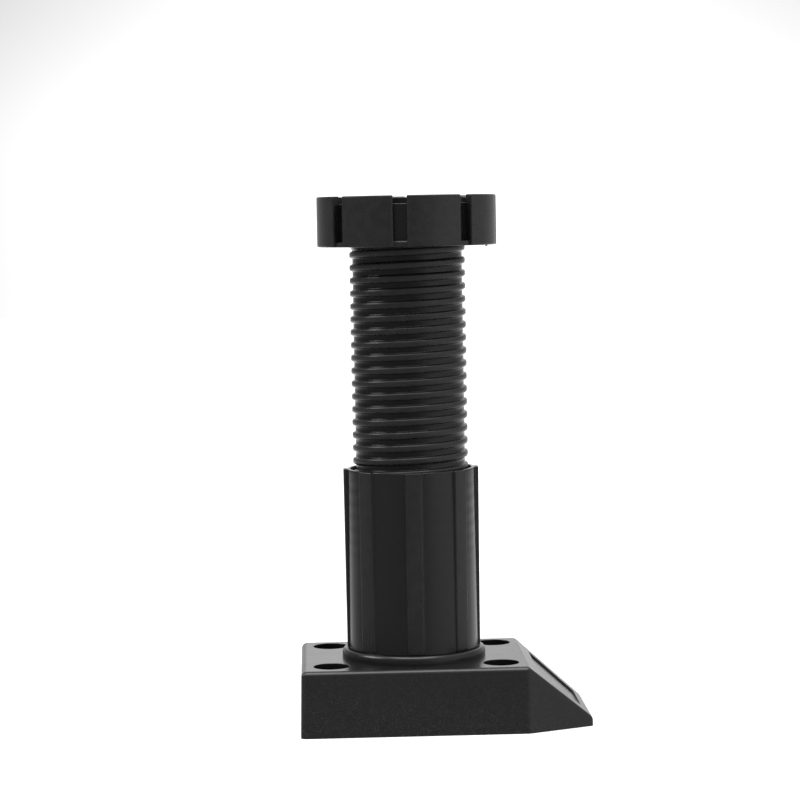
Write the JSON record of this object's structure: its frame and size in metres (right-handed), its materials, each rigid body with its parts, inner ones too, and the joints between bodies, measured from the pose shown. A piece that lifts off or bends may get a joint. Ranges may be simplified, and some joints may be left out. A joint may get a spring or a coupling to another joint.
{
  "type": "furniture leveling foot",
  "caption": "Height-adjustable furniture leveling foot: screw-on plate with a round socket, ribbed sleeve that works as the nut, coarse-threaded tube with a castellated foot disc.",
  "frame": {"origin": "on the axis of the tube, at the plate's mounting face", "axes": "+Z from the mounting face along the tube to the foot's ground face, +X from the tube towards the tapered end of the plate, -Y towards the long side wall the picture is taken from"},
  "size_m": [0.0752, 0.048, 0.1369],
  "materials": {
    "plate_black_plastic": "satin moulded black, fine grain",
    "sleeve_black_plastic": "satin moulded black, faint sink ripples",
    "leg_black_plastic": "satin moulded black, fine grain"
  },
  "bodies": {
    "plate": {"mounting_plate": "plate_black_plastic"},
    "sleeve": {"adjusting_sleeve": "sleeve_black_plastic"},
    "leg": {"threaded_leg_foot": "leg_black_plastic"}
  },
  "joints": [
    {"name": "sleeve_turn", "type": "hinge", "parent": "plate", "child": "sleeve", "pos_m": [0, 0, 0.019], "axis": [0, 0, 1], "range_deg": [-540, 5040]},
    {"name": "leg_travel", "type": "slide", "parent": "plate", "child": "leg", "axis": [0, 0, 1], "range_m": [-0.0469, 0.0052]}
  ],
  "couplings": [
    {"joint": "leg_travel", "follows": "sleeve_turn", "m_per_rad": -0.00053158}
  ]
}
